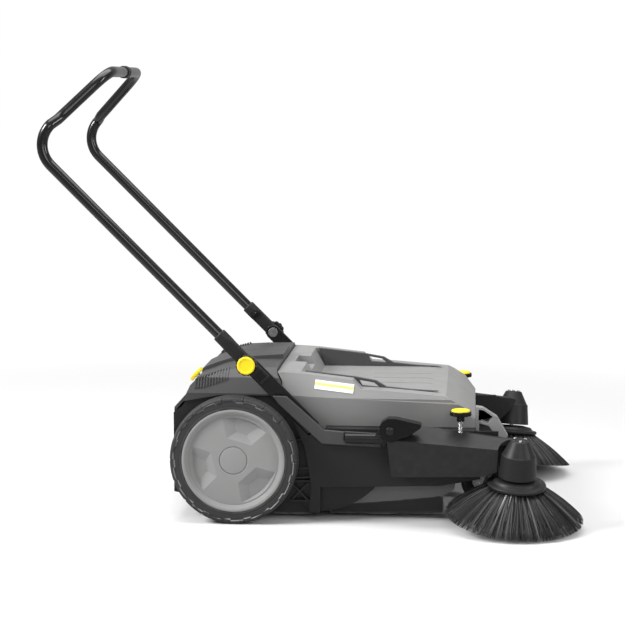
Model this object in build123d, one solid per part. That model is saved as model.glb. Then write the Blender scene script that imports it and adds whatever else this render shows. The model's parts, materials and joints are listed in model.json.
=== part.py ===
from build123d import *
import math
import os

# Walk-behind push sweeper. Millimetres. +X forward, +Y left, +Z up.
# Origin: on the floor, midway between the two rear wheels, straight below their axle.
# Shapes are drawn for the left side (+Y) and mirrored for the right one.

# Driving dimensions
wheel_radius = 147.0
wheel_inner_y = 282.0
wheel_outer_y = 332.0
rim_radius = 118.0
axle_radius = 10.0
running_gap = 0.05

gear_module = 3.0
wheel_gear_teeth = 51
pinion_teeth = 17
gear_inner_y = 263.5
gear_width = 5.5
gear_backlash = 0.18

roller_radius = 104.0
roller_axis_z = roller_radius + 1.5
roller_half_length = 232.0
roller_core_radius = 30.0
roller_shaft_radius = 8.0

wall_inner_y = 250.0
wall_outer_y = 262.0
panel_outer_y = 278.0
cover_half_width = 266.0
cover_front = 102.0

pivot_x = 29.0
pivot_z = 364.0
handle_tube_y = 280.0
handle_tube_radius = 12.5
handle_tube_wall = 2.0
handle_lower_length = 700.0
handle_upper_length = 235.0
handle_lean = 45.0
handle_bend_radius = 65.0
crossbar_half_width = 198.0
socket_low = 66.0
socket_high = 92.0

arm_hinge_x = 357.0
arm_hinge_z = 224.0
arm_inner_y = 280.0
arm_outer_y = 340.0

disc_centre = (641.0, 329.0, 107.0)
brush_lean_forward = 3.4
brush_lean_outward = 8.4
brush_tip_radius = 158.0
brush_tip_drop = 81.0

skirt_x = 185.0
skirt_low = 19.0
skirt_radius = 183.6

belt_radius = 2.0
belt_pulley_radius = 10.5
belt_y = 272.8
belt_guide_x = 450.0
belt_upper_z = 146.0
belt_lower_z = 124.0

hood_slope = 2.3
label_slope = 4.5

adjuster_radius = 6.0

knob_x = 514.0
knob_y = 289.0

caster_x = 575.0
caster_wheel_radius = 37.5
caster_trail = 22.0

# Worked out from the driving dimensions
axle_z = wheel_radius
gear_distance = gear_module * (wheel_gear_teeth + pinion_teeth) / 2
roller_axis_x = math.sqrt(gear_distance**2 - (axle_z - roller_axis_z) ** 2)
mesh_angle = math.degrees(math.atan2(roller_axis_z - axle_z, roller_axis_x))
gear_outer_y = gear_inner_y + gear_width


def outline(points, radius=0):
    """A closed face in the drawing plane, with its corners rounded if a radius is given."""
    if radius:
        return make_face(FilletPolyline(*points, radius=radius, close=True))
    return make_face(Polyline(*points, close=True))


def slab(points, y_low, y_high, radius=0):
    """A block with an X-Z outline that runs along Y from y_low to y_high."""
    block = extrude(outline(points, radius), amount=y_high - y_low)
    return Pos(0, y_high, 0) * Rot(90, 0, 0) * block


def bar(points, x_low, x_high):
    """A block with a Y-Z outline that runs along X from x_low to x_high."""
    face = Plane.YZ.offset(x_low) * outline(points)
    return extrude(face, amount=x_high - x_low, dir=(1, 0, 0))


def block(x_low, x_high, y_low, y_high, z_low, z_high):
    """A rectangular block between two corners."""
    size = Box(x_high - x_low, y_high - y_low, z_high - z_low)
    return Pos((x_low + x_high) / 2, (y_low + y_high) / 2, (z_low + z_high) / 2) * size


def rod(x, z, radius, y_low, y_high):
    """A round bar along Y."""
    return Pos(x, (y_low + y_high) / 2, z) * Rot(90, 0, 0) * Cylinder(radius, y_high - y_low)


def ring(x, z, radius, bore, y_low, y_high):
    """A round tube along Y."""
    return rod(x, z, radius, y_low, y_high) - rod(x, z, bore, y_low - 1, y_high + 1)


def turned(points):
    """A solid of revolution about Z, from an outline of (radius, height) points."""
    face = Rot(90, 0, 0) * outline(points)
    return revolve(face, Axis.Z)


def turned_y(points, x, z):
    """A solid of revolution about a Y axis through (x, z), from (radius, y) points."""
    return Pos(x, 0, z) * Rot(-90, 0, 0) * turned(points)


def polar(radius, degrees):
    """A point at a radius and an angle in the drawing plane."""
    return radius * math.cos(math.radians(degrees)), radius * math.sin(math.radians(degrees))


def stretch(start, end, radius):
    """A round bar between two points."""
    start = Vector(*start)
    span = Vector(*end) - start
    place = Plane(origin=start + span * 0.5, z_dir=span)
    return place * Cylinder(radius, span.length)


def save(name, *solids):
    """Write one node, which may hold several separate solids."""
    shape = solids[0] if len(solids) == 1 else Compound(children=list(solids))
    export_step(shape, f"parts/{name}.step")


def flipped(shape):
    """The same shape on the other side of the machine."""
    return mirror(shape, about=Plane.XZ)


def save_pair(name, shape):
    """Write a left piece and its mirrored right piece as two nodes."""
    save(f"{name}_left", shape)
    save(f"{name}_right", flipped(shape))


def gear(teeth, tooth_angle, x, z, bore):
    """A spur gear on a Y axis, with a tooth centred on tooth_angle."""
    pitch_r = gear_module * teeth / 2
    base_r = pitch_r * math.cos(math.radians(20))
    root_r = pitch_r - 1.25 * gear_module
    tip_r = pitch_r + gear_module
    steps = 5

    def involute(radius):
        pressure = math.acos(min(1, base_r / radius))
        return math.degrees(math.tan(pressure) - pressure)

    half_tooth = 90 / teeth - math.degrees(gear_backlash / 2 / pitch_r) + involute(pitch_r)
    start_r = max(base_r, root_r)
    flank = [start_r + (tip_r - start_r) * i / steps for i in range(steps + 1)]
    points = []
    for tooth in range(teeth):
        middle = tooth_angle + 360 * tooth / teeth
        rising = [polar(r, middle - half_tooth + involute(r)) for r in flank]
        falling = [polar(r, middle + half_tooth - involute(r)) for r in reversed(flank)]
        root_in = [polar(root_r, middle - half_tooth)] if root_r < base_r else []
        root_out = [polar(root_r, middle + half_tooth)] if root_r < base_r else []
        points += root_in + rising + falling + root_out
    body = Pos(x, 0, z) * slab(points, gear_inner_y, gear_outer_y)
    return body - rod(x, z, bore, gear_inner_y - 1, gear_outer_y + 1)


def spindle_plane():
    """The tilted frame of the left brush: origin at its disc, Z up along its spindle."""
    forward = math.tan(math.radians(brush_lean_forward))
    outward = math.tan(math.radians(brush_lean_outward))
    lean = Vector(forward, outward, 1)
    return Plane(origin=disc_centre, x_dir=(lean.Z, 0, -lean.X), z_dir=lean.normalized())


def handle_frame_point(along, across):
    """A point in X-Z measured along the handle's lower tube and square to it, forward positive."""
    lean = math.radians(handle_lean)
    x = pivot_x - along * math.sin(lean) + across * math.cos(lean)
    z = pivot_z + along * math.cos(lean) + across * math.sin(lean)
    return x, z


def handle_slab(low, high, back, front, y_low, y_high):
    """A block square to the handle's lower tube, between two stations along and across it."""
    corners = [(low, back), (high, back), (high, front), (low, front)]
    return slab([handle_frame_point(*corner) for corner in corners], y_low, y_high)


def chassis():
    """The black lower frame: side walls, roller chamber, hollow side panels and front beam."""
    wall = slab(
        [
            (-146, 60), (-146, 245), (-128, 258), (-108, 286), (96, 286), (102, 264), (140, 264),
            (200, 211), (600, 211), (600, 112), (520, 100), (470, 88), (320, 84), (190, 80),
            (190, 20), (166, 20), (150, 45), (-60, 45),
        ],
        wall_inner_y, wall_outer_y,
    )
    skirt = block(166, 325, wall_inner_y, wall_outer_y, skirt_low, 96)
    skirt &= rod(skirt_x, skirt_low + skirt_radius, skirt_radius, wall_inner_y, wall_outer_y)
    panel = slab(
        [
            (118, 266), (200, 192), (352, 188), (560, 188), (560, 104), (469, 87),
            (195, 79), (195, 20), (168, 20), (174, 79), (160, 167),
        ],
        wall_outer_y, panel_outer_y,
    )
    panel -= block(140, 556, wall_outer_y, panel_outer_y - 2, 92, 176)
    panel -= block(belt_guide_x - 2, 552, panel_outer_y - 3, panel_outer_y + 1, 116, 168)
    panel -= handle_slab(-216, 0, -19, 19, wall_outer_y, panel_outer_y + 1)
    ribs = []
    for low in (44, 90, 186):
        ribs.append(block(124, 172, wall_outer_y, wall_outer_y + 14, low, low + 4))
    brace = slab([(124, 46), (130, 46), (170, 88), (164, 88)], wall_outer_y, wall_outer_y + 12)
    brace += slab([(164, 46), (170, 46), (130, 88), (124, 88)], wall_outer_y, wall_outer_y + 12)
    axle_boss = rod(0, axle_z, 24, wall_inner_y - 6, wall_outer_y)
    side = wall + skirt + panel + ribs + brace + axle_boss
    side -= rod(0, axle_z, axle_radius, wall_inner_y - 7, wall_outer_y + 1)
    side -= rod(roller_axis_x, roller_axis_z, 16, wall_inner_y - 1, wall_outer_y + 4)
    guide_bed = block(belt_guide_x - 8, belt_guide_x + 6, wall_outer_y, panel_outer_y - 2, 92, 112)
    side += guide_bed
    rear = block(-146, -140, -wall_inner_y, wall_inner_y, 60, 245)
    deck = slab([(-146, 245), (126, 245), (184, 200), (188, 204), (129, 251), (-146, 251)],
                -wall_inner_y, wall_inner_y)
    beam = slab([(522, 112), (600, 112), (600, 134), (522, 130)], -wall_inner_y, wall_inner_y)
    beam -= rod_z(caster_x, 0, 8, 100, 140)
    return side + flipped(side) + rear + deck + beam


def rod_z(x, y, radius, z_low, z_high):
    """A round bar along Z."""
    return Pos(x, y, (z_low + z_high) / 2) * Cylinder(radius, z_high - z_low)


def cover_section(margin, x_low, x_high):
    """The cover's outline from behind, with sloping shoulders, grown outwards by a margin."""
    points = [(-266, 240), (-266, 292), (-246, 326), (-214, 346), (-214, 400)]
    left = [(y - margin, z) for y, z in points]
    right = [(-y, z) for y, z in reversed(left)]
    return bar(left + right, x_low, x_high)


def rear_cover():
    """The dark grey rear shell, with a low centre hump and grip ribs on its shoulders."""
    outer = slab(
        [
            (-124, 272), (-108, 308), (-99, 316), (-77, 323), (-47, 335), (-20, 342), (22, 345),
            (90, 346), (90, 337), (cover_front, 317), (cover_front, 288), (44, 288), (-37, 288),
        ],
        -cover_half_width, cover_half_width,
    )
    hump = slab(
        [(-107, 308), (-104, 321), (-92, 327), (-63, 338), (-33, 347), (34, 353), (90, 357), (90, 340), (-80, 315)],
        -75, 75,
    )
    inner = slab(
        [
            (-140, 255), (-119, 275), (-105, 304), (-97, 312), (-76, 319), (-46, 331), (-19, 338),
            (22, 341), (86, 342), (86, 336), (98, 315), (98, 255),
        ],
        -cover_half_width, cover_half_width,
    )
    hump_inner = slab([(-80, 312), (-62, 334), (-32, 343), (34, 349), (86, 353), (86, 335)], -71, 71)
    inner = (inner & cover_section(-3.5, -160, 120)) + hump_inner
    back = slab([(-146, 251.2), (-146, 256), (-120, 285), (-116, 281), (-141, 251.2)],
                -wall_inner_y, wall_inner_y)
    cover = (outer & cover_section(0, -160, 120)) + hump - inner + back
    cover -= adjuster_frame() * Cylinder(adjuster_radius, 80)
    rib_count = 12
    rib_pitch = 6.6
    for i in range(rib_count):
        x = -97 + rib_pitch * i
        z = 317 + (x + 99) * 26 / 79
        rib = block(x, x + 2.8, 206, 262, z - 20, z + 4) & cover_section(3, -160, 120)
        rib -= inner
        cover += rib
        cover += flipped(rib)
    return cover


def handle_tube():
    """The bent steel push handle: two lower legs, two upper arms and a crossbar."""
    x0, z0 = handle_frame_point(socket_low, 0)
    x1, z1 = handle_frame_point(handle_lower_length, 0)
    x2, z2 = handle_frame_point(handle_lower_length, handle_upper_length)
    low = Vector(x0, handle_tube_y, z0)
    corner = Vector(x1, handle_tube_y, z1)
    top = Vector(x2, crossbar_half_width, z2)
    upward = (corner - low).normalized()
    forward = (top - corner).normalized()
    inward = Vector(0, -1, 0)
    bend_reach = handle_bend_radius
    crossbar_reach = 52.0
    a = corner - upward * bend_reach
    b = corner + forward * bend_reach
    c = top - forward * crossbar_reach
    d = top + inward * crossbar_reach
    leg = Line(low, a)
    bend = TangentArc(a, b, tangent=upward)
    arm = Line(b, c)
    corner_bend = TangentArc(c, d, tangent=forward)
    half_bar = Line(d, Vector(x2, 0, z2))
    path = Wire([leg, bend, arm, corner_bend, half_bar])
    bore_radius = handle_tube_radius - handle_tube_wall
    section = Plane(origin=low, z_dir=upward) * (Circle(handle_tube_radius) - Circle(bore_radius))
    half = sweep(section, path=path)
    return half + flipped(half)


def handle_socket():
    """The flat end of the handle that laps the bracket and turns on the pivot bolt."""
    tail = -57.0
    half_width = 15.5
    y_low = 275.3
    y_high = 291.0
    socket = handle_slab(tail, socket_low + 12, -half_width, half_width, y_low, y_high)
    socket += handle_slab(socket_low, socket_high, -16, 16, 266.4, 293.6)
    socket -= rod(pivot_x, pivot_z, 5 + running_gap, y_low - 1, y_high + 1)
    low = handle_frame_point(socket_low, 0)
    high = handle_frame_point(socket_high + 10, 0)
    socket -= stretch((low[0], handle_tube_y, low[1]), (high[0], handle_tube_y, high[1]), handle_tube_radius)
    for step in range(4):
        start = tail + 6 + 5 * step
        socket -= handle_slab(start, start + 2, -20, 20, y_high - 1.2, y_high + 1)
    return socket


def handle_bracket():
    """The flat steel strut that carries the handle pivot, from the side rail up to the bolt."""
    half_width = 18.0
    strut = handle_slab(-212, 0, -half_width, half_width, 267, 275)
    strut += rod(pivot_x, pivot_z, half_width, 267, 275)
    strut += handle_slab(-205, -150, -14, 10, wall_outer_y, 268)
    return strut - rod(pivot_x, pivot_z, 5, 260, 280)


def pivot_bolt():
    """The clamp bolt that the handle turns on."""
    shank = rod(pivot_x, pivot_z, 5, 267, 309.5)
    head = rod(pivot_x, pivot_z, 12, 266.1, 267)
    return shank + head


def clamp_knob():
    """The round screw-on knob that clamps the handle, with finger flutes round its rim."""
    knob = turned_y([
        (5 + running_gap, 292), (14, 292), (16, 297), (24, 299), (24, 314), (22, 317), (20.5, 317),
        (20.5, 320), (17, 321.5), (0, 322), (0, 310), (5 + running_gap, 310),
    ], pivot_x, pivot_z)
    for i in range(12):
        x, z = polar(26.2, 30 * i)
        knob -= rod(pivot_x + x, pivot_z + z, 3.2, 298, 318)
    return knob


def wheel_hub():
    """The moulded wheel centre: rim, dished web with three pockets, boss and gear seat."""
    hub = turned_y([
        (axle_radius + running_gap, gear_outer_y), (52, gear_outer_y), (52, 282), (32, 284), (32, 312), (96, 312),
        (110, 300), (110, 283), (rim_radius, 283), (rim_radius, 331), (112, 331),
        (108, 327), (100, 325), (34, 325), (31.5, 326), (31.5, 322), (20, 322), (20, 318), (axle_radius + running_gap, 318),
    ], 0, axle_z)
    for middle in (73, 193, 313):
        rim_points = [polar(100, middle + offset) for offset in (30, 15, 0, -15, -30)]
        mouth = [polar(54, middle - 28), polar(54, middle + 28)] + rim_points
        rim_points = [polar(97, middle + offset) for offset in (20, 0, -20)]
        bottom = [polar(72, middle - 12), polar(72, middle + 12)] + rim_points
        pocket = slab(mouth, 322, 330) + slab(bottom, 316, 330)
        hub -= Pos(0, 0, axle_z) * pocket
    return hub


def tyre():
    """The rubber tyre, with a crowned tread and shallow lug grooves at both shoulders."""
    body = turned_y([
        (rim_radius, wheel_inner_y + 1), (rim_radius + 6, wheel_inner_y), (139, wheel_inner_y),
        (wheel_radius - 3, wheel_inner_y + 4), (wheel_radius, wheel_inner_y + 14),
        (wheel_radius, wheel_outer_y - 14), (wheel_radius - 3, wheel_outer_y - 4),
        (139, wheel_outer_y), (rim_radius + 6, wheel_outer_y), (rim_radius, wheel_outer_y - 1),
    ], 0, axle_z)
    lug_count = 30
    grooves = []
    for i in range(lug_count):
        x, z = polar(wheel_radius + 1, 360 * i / lug_count)
        for y in (wheel_inner_y - 1, wheel_outer_y - 9):
            groove = block(-5, 5, y, y + 10, -2, 2)
            grooves.append(Pos(x, 0, axle_z + z) * Rot(0, -360 * i / lug_count, 0) * groove)
    return body - grooves


def roller_bristles():
    """The plain envelope of the main roller's bristle rows, with a thin mat on the core."""
    mat = ring(roller_axis_x, roller_axis_z, roller_core_radius + 4, roller_core_radius,
               -roller_half_length, roller_half_length)
    row_count = 9
    rows = []
    for i in range(row_count):
        row = block(roller_core_radius + 1, roller_radius, -roller_half_length, roller_half_length, -6, 6)
        rows.append(Pos(roller_axis_x, 0, roller_axis_z) * Rot(0, 360 * i / row_count, 0) * row)
    round_tips = rod(roller_axis_x, roller_axis_z, roller_radius, -roller_half_length, roller_half_length)
    return (mat + rows) & round_tips


def belt_pulley():
    """The small round-belt pulley at one end of the roller shaft."""
    low, high = gear_outer_y + 0.5, belt_y + 3.2
    pulley = ring(roller_axis_x, roller_axis_z, 12.5, roller_shaft_radius, low, high)
    floor_radius = belt_pulley_radius - belt_radius - running_gap
    return pulley - ring(roller_axis_x, roller_axis_z, 13, floor_radius, belt_y - 2.1, belt_y + 2.1)


def drive_belt():
    """The round elastic belt from the roller shaft to the side brush spindle."""
    frame = spindle_plane()
    pulley_centre = frame.origin + frame.z_dir * 45
    upper = (belt_guide_x, belt_y, belt_upper_z)
    lower = (belt_guide_x, belt_y, belt_lower_z)
    ahead = Vector(pulley_centre.X - belt_guide_x, pulley_centre.Y - belt_y, 0).normalized()
    ahead = (ahead - frame.z_dir * ahead.dot(frame.z_dir)).normalized()
    across = frame.z_dir.cross(ahead)
    outer_end = pulley_centre + across * belt_pulley_radius
    inner_end = pulley_centre - across * belt_pulley_radius
    middle_z = (belt_upper_z + belt_lower_z) / 2
    slope = math.degrees(math.atan2(middle_z - roller_axis_z, belt_guide_x - roller_axis_x))
    dx, dz = polar(belt_pulley_radius, slope + 90)
    top = (roller_axis_x + dx, belt_y, roller_axis_z + dz)
    bottom = (roller_axis_x - dx, belt_y, roller_axis_z - dz)
    rear_half = Plane(origin=(roller_axis_x, belt_y, roller_axis_z), x_dir=(dx, 0, dz), z_dir=(0, -1, 0))
    front_half = Plane(origin=pulley_centre, x_dir=-across, z_dir=frame.z_dir)
    half_loop = Torus(belt_pulley_radius, belt_radius, major_angle=180, align=None)
    belt = rear_half * half_loop + front_half * half_loop
    for start, end in ((top, upper), (upper, outer_end), (bottom, lower), (lower, inner_end)):
        belt += stretch(start, end, belt_radius)
    for joint in (upper, lower, top, bottom, outer_end, inner_end):
        belt += Pos(*joint) * Sphere(belt_radius + 0.04)
    return belt


def belt_guide():
    """The slippery block that turns both runs of a belt outwards into the arm."""
    guide = block(belt_guide_x - 7, belt_guide_x + 5, wall_outer_y, panel_outer_y - 2, 112, 158)
    for z in (belt_lower_z, belt_upper_z):
        guide -= block(belt_guide_x - 8, belt_guide_x + 6, belt_y - 2.6, panel_outer_y, z - 4.5, z + 4.5)
    return guide


def side_rail():
    """The proud dark grey band that runs down beside the bracket and on to the arm mount."""
    rail = slab([
        (118, 290), (204, 214), (243, 211), (335, 207), (335, 176), (247, 180), (199, 182),
        (124, 250), (99, 273), (86, 291),
    ], panel_outer_y, 290)
    channel = slab([(250, 212), (250, 188), (336, 186), (336, 212)], panel_outer_y + 4, 291)
    return rail - channel


def arm_mount():
    """The black tube along the flank with the knuckle that carries a side arm."""
    tube_z = 198.0
    tube_y = 301.0
    tube = stretch((254, tube_y, tube_z), (340, tube_y, tube_z), 11.5)
    knuckle = slab([(322, 187), (344, 187), (372, 214), (372, 234), (346, 240), (322, 208)], 291, 309, 5)
    foot = block(336, 345, panel_outer_y, 292, 178, 200)
    return tube + knuckle + foot - rod(arm_hinge_x, arm_hinge_z, 6, 280, 320)


def arm_hinge_bolt():
    """The pin that a side arm swings on, with a domed outer head."""
    pin = rod(arm_hinge_x, arm_hinge_z, 6, 291, 343)
    head = turned_y([(0, 343), (10, 343), (9, 347), (5, 349), (0, 349)], arm_hinge_x, arm_hinge_z)
    return pin + head


def arm_hinge_lever():
    """The glossy lever at the rear of a side arm, with the eye for its hinge pin."""
    lever = slab([
        (341, 203), (331, 221), (336, 242), (352, 252), (370, 252), (430, 239), (424, 230), (399, 212), (358, 198),
    ], 310, 342, 5)
    return lever - rod(arm_hinge_x, arm_hinge_z, 6 + running_gap, 300, 350)


def side_arm():
    """The hollow black housing of a side brush arm, with a sloping outer shoulder."""
    side = slab([
        (349, 201), (360, 118), (567, 122), (606, 138), (645, 176), (652, 197), (427, 226), (366, 212),
    ], arm_inner_y, arm_outer_y, 3)
    section = bar([(arm_inner_y, 60), (arm_outer_y, 60), (arm_outer_y, 202), (arm_inner_y, 231)], -60, 320)
    arm = side & (Pos(350, 0, 0) * Rot(0, 4.3, 0) * section)
    hollow = slab([(366, 100), (374, 196), (428, 212), (640, 184), (600, 100)], arm_inner_y + 3, arm_outer_y - 2)
    inside = bar([(arm_inner_y, 60), (arm_outer_y, 60), (arm_outer_y, 198), (arm_inner_y, 227)], -60, 320)
    arm -= hollow & (Pos(350, 0, 0) * Rot(0, 4.3, 0) * inside)
    arm -= slab([(326, 202), (326, 256), (432, 256), (432, 239), (425, 229), (400, 211), (358, 197), (341, 202)],
                309, 341)
    arm -= rod(arm_hinge_x, arm_hinge_z, 26, 279, 311)
    arm -= slab([(330, 186), (330, 250), (375, 250), (380, 214), (360, 186)], 279, 311)
    arm -= block(430, 560, arm_inner_y - 1, arm_inner_y + 4, 108, 172)
    arm -= spindle_plane() * Cylinder(47, 200)
    arm -= rod_z(knob_x, knob_y, 5 + running_gap, 200, 240)
    return arm


def brush_head():
    """The conical gearless head over a side brush spindle."""
    head = turned([
        (0, 96), (0, 102), (18, 102), (21, 100), (37, 68), (38.5, 64),
        (43.5, 17), (39.5, 17), (34.5, 62), (17, 96),
    ])
    bearing = Pos(0, 0, 77) * Cylinder(11, 40)
    web = Pos(0, 0, 62) * Cylinder(34.4, 4)
    head += bearing + web
    head -= Pos(0, 0, 70) * Cylinder(5 + running_gap, 50)
    placed = spindle_plane() * head
    back = slab([(560, 108), (650, 108), (650, 170), (560, 170)], 296, 354)
    frame = spindle_plane()
    rear_half = frame * (Pos(-57, 0, 45) * Box(106, 84, 26))
    placed -= rear_half & back
    for i in range(3):
        placed -= frame * (Pos(*polar(13.5, 90 + 120 * i), 96) * Cylinder(2, 20))
    return placed


def head_screws():
    """Three bright screws in the top of a brush head."""
    screws = []
    for i in range(3):
        x, y = polar(13.5, 90 + 120 * i)
        screw = Pos(x, y, 96) * Cylinder(2, 12) + Pos(x, y, 103.5) * Cylinder(3.5, 3)
        screw -= Pos(x, y, 104.6) * Box(5.5, 1, 1.2)
        screws.append(spindle_plane() * screw)
    return screws


def brush_spindle():
    """The spindle that carries the brush disc, with its round-belt pulley."""
    shaft = Pos(0, 0, 42) * Cylinder(5, 104)
    floor_radius = belt_pulley_radius - belt_radius - running_gap
    pulley = Cylinder(12.5, 12) - (Cylinder(13, 8.4) - Cylinder(floor_radius, 9))
    return spindle_plane() * (shaft + Pos(0, 0, 45) * pulley)


def brush_disc():
    """The stepped plastic disc that holds the bristle tufts."""
    disc = turned([
        (5, -10), (60, -10), (66.5, -5), (66.5, 1), (64, 3), (53, 5), (50, 10), (30, 14), (5, 14),
    ])
    return spindle_plane() * disc


def side_bristles():
    """The plain envelope of a side brush's splayed bristles."""
    tips = turned([
        (32, -10.5), (58, -10.5), (68, -18), (brush_tip_radius, -brush_tip_drop + 7),
        (brush_tip_radius - 1, -brush_tip_drop), (132, -brush_tip_drop), (36, -24),
    ])
    return spindle_plane() * tips


def height_knob():
    """The fluted knob and its moulded-in threaded rod, which set a side arm's height."""
    knob = rod_z(knob_x, knob_y, 25, 252, 262)
    knob += rod_z(knob_x, knob_y, 9, 239, 252)
    knob += Pos(knob_x, knob_y, 0) * turned([(0, 262), (21, 262), (21, 264), (17, 266), (0, 266.5)])
    for i in range(10):
        dx, dy = polar(27.5, 36 * i)
        knob -= rod_z(knob_x + dx, knob_y + dy, 4, 250, 263)
    thread = rod_z(knob_x, knob_y, 5, 208, 240)
    for i in range(5):
        low = 222 + 3 * i
        thread -= rod_z(knob_x, knob_y, 6, low, low + 1) - rod_z(knob_x, knob_y, 4.4, low, low + 1)
    return knob + thread


def container_hood():
    """The light grey upper half of the container, with a deep tray in its top."""
    side = slab([
        (104, 290), (104, 318), (92, 338), (150, 335), (266, 322), (286, 302), (345, 299), (480, 288),
        (521, 264), (548, 229), (548, 216), (205, 216), (205, 208), (196, 208), (116, 272),
    ], -256, 256)
    section = [(-214, 400), (214, 400), (226, 349), (253, 287), (238, 216), (-238, 216), (-253, 287), (-226, 349)]
    prism = Pos(100, 0, 0) * Rot(0, hood_slope, 0) * bar(section, -40, 480)
    lower = bar([(-238, 200), (238, 200), (253, 282), (-253, 282)], 100, 549)
    hood = side & (prism + lower)
    tray = slab([(138, 360), (144, 336), (169, 292), (482, 292), (500, 320), (500, 360)], -200, 200)
    hood -= tray
    inside_side = slab([(112, 290), (114, 308), (160, 286), (480, 284), (516, 260), (543, 227),
                        (543, 200), (212, 200), (205, 222), (129, 292)], -246, 246)
    inside = bar([(-233, 200), (233, 200), (248, 282), (224, 326), (-224, 326), (-248, 282)], 100, 549)
    hood -= inside_side & inside
    hood -= block(116, 158, -50, 50, 316, 360)
    for y in (-75, 0, 75):
        hood -= block(300, 462, y - 2.5, y + 2.5, 290.5, 293)
    return hood


def container_grip():
    """The dark side cheek of the tray, with a hand slot in its raised rail."""
    cheek = slab([
        (170, 292.5), (153, 336), (266, 324), (318, 315), (342, 301), (400, 295.5), (462, 292.5),
    ], 187, 199.8)
    slot = slab([(286, 303), (278, 317), (313, 311), (327, 300)], 180, 205)
    return cheek - slot


def container_tub():
    """The lower half of the dirt container, open at the top and towards the roller."""
    outer = slab([
        (206, 215.8), (206, 40), (214, 29), (361, 41), (476, 55), (500, 68), (512, 137), (546, 143),
        (546, 215.8),
    ], -237, 237)
    inner = slab([
        (190, 220), (190, 58), (222, 34), (361, 46), (472, 60), (495, 72), (507, 141), (541, 147),
        (541, 220),
    ], -233, 233)
    return outer - inner


def container_front_grip():
    """The grey lifting frame at the front right of the container, with two openings."""
    frame = slab([(548.2, 264), (564, 262), (597, 241), (622, 197), (618, 190), (548.2, 190)], -236, -213)
    frame -= slab([(556, 256), (566, 254), (586, 240), (576, 226), (556, 232)], -240, -200)
    frame -= slab([(556, 225), (578, 219), (594, 197), (556, 199)], -240, -200)
    return frame


def label_plate():
    """A blank plate on the container's flank, which leans in towards the top."""
    lean = math.degrees(math.atan2(27, 62))
    plate = Rot(lean, 0, 0) * Pos(0, 0.7, 0) * Rot(0, label_slope, 0) * Box(90, 1.2, 22)
    return Pos(100, 0, 0) * Rot(0, hood_slope, 0) * Pos(111.5, 242.3, 311.6) * plate


def caster_fork():
    """The bent steel fork of the front caster, with its swivel stem."""
    fork = rod_z(caster_x, 0, 8 - running_gap, 98, 138)
    fork += rod_z(caster_x, 0, 24, 98, 104)
    axle_at = caster_x - caster_trail
    fork += block(axle_at - 12, caster_x + 14, -21, 21, 92, 98)
    for y in (-21, 17):
        cheek = slab([(axle_at - 10, 37), (axle_at + 10, 30), (caster_x + 14, 98), (axle_at - 12, 98)], y, y + 4)
        fork += cheek
    return fork - rod(axle_at, caster_wheel_radius, 5, -30, 30)


def caster_retainer():
    """The washer and nut that hold the caster's stem in the front beam."""
    return rod_z(caster_x, 0, 15, 134.4, 141) - rod_z(caster_x, 0, 8 - running_gap, 130, 150)


def caster_wheel():
    """The small solid front wheel with a rounded tread."""
    return turned_y([
        (5 + running_gap, -15), (12, -15), (14, -11), (28, -11), (33, -13), (36, -11),
        (caster_wheel_radius, -6), (caster_wheel_radius, 6), (36, 11), (33, 13), (28, 11), (14, 11),
        (12, 15), (5 + running_gap, 15),
    ], caster_x - caster_trail, caster_wheel_radius)


def caster_axle():
    """The riveted pin of the front caster's wheel."""
    axle_at = caster_x - caster_trail
    pin = rod(axle_at, caster_wheel_radius, 5, -21, 21)
    return pin + rod(axle_at, caster_wheel_radius, 8, 21, 23) + rod(axle_at, caster_wheel_radius, 8, -23, -21)


def adjuster_frame():
    """The frame of the roller height knob: origin on the rear slope, Z pointing back and up."""
    return Plane(origin=(-122, 0, 288), x_dir=(0, 1, 0), z_dir=(-1, 0, 0.93))


def adjuster_knob():
    """The yellow turning knob on the rear slope."""
    knob = Pos(0, 0, 12) * Cylinder(20, 9) - Pos(0, 0, 16) * Cylinder(16, 3)
    knob += Pos(0, 0, 14.5) * Box(31, 7, 6)
    knob -= Pos(0, 0, 7) * Cylinder(adjuster_radius + running_gap, 10)
    return adjuster_frame() * knob


def adjuster_spindle():
    """The short spindle that carries the roller height knob."""
    return adjuster_frame() * (Pos(0, 0, -7) * Cylinder(adjuster_radius, 36) + Pos(0, 0, -22) * Cylinder(11, 6))


def sealing_strips():
    """The rubber strips that close the gap to the floor beside the roller and at the back."""
    side = block(-50, 188, 244, wall_inner_y, 8, 78)
    rear = block(-60, -56, -236, 236, 5, 70)
    return side, flipped(side), rear


def container_seal():
    """The rubber lip under one edge of the container's floor."""
    return slab([(214, 28.8), (361, 40.8), (476, 54.8), (476, 12), (214, 9)], 230, 234)


def save_both(name, shape):
    """Write a left piece and its mirrored right piece as one node."""
    save(name, shape, flipped(shape))


def write_frame():
    """The root body: frame, covers and what is fixed to them."""
    save("chassis", chassis())
    save("rear_cover", rear_cover())
    save_both("side_rails", side_rail())
    save_both("handle_brackets", handle_bracket())
    save_both("pivot_bolts", pivot_bolt())
    stub = rod(0, axle_z, axle_radius, wall_inner_y - 6, 321) + rod(0, axle_z, 15, wall_outer_y, gear_inner_y - 0.3)
    save_both("axle_stubs", stub)
    save_both("axle_clips", ring(0, axle_z, 15, axle_radius, 318.3, 320.5))
    save("sealing_strips", *sealing_strips())
    bearing = ring(roller_axis_x, roller_axis_z, 16, roller_shaft_radius + running_gap,
                   wall_inner_y, wall_outer_y)
    save_both("roller_bearings", bearing)
    save_both("drive_belts", drive_belt())
    save_both("belt_guides", belt_guide())
    save_both("arm_mounts", arm_mount())
    save_both("arm_hinge_bolts", arm_hinge_bolt())
    save("caster_retainer", caster_retainer())
    save("adjuster_spindle", adjuster_spindle())
    save("adjuster_knob", adjuster_knob())


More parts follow.
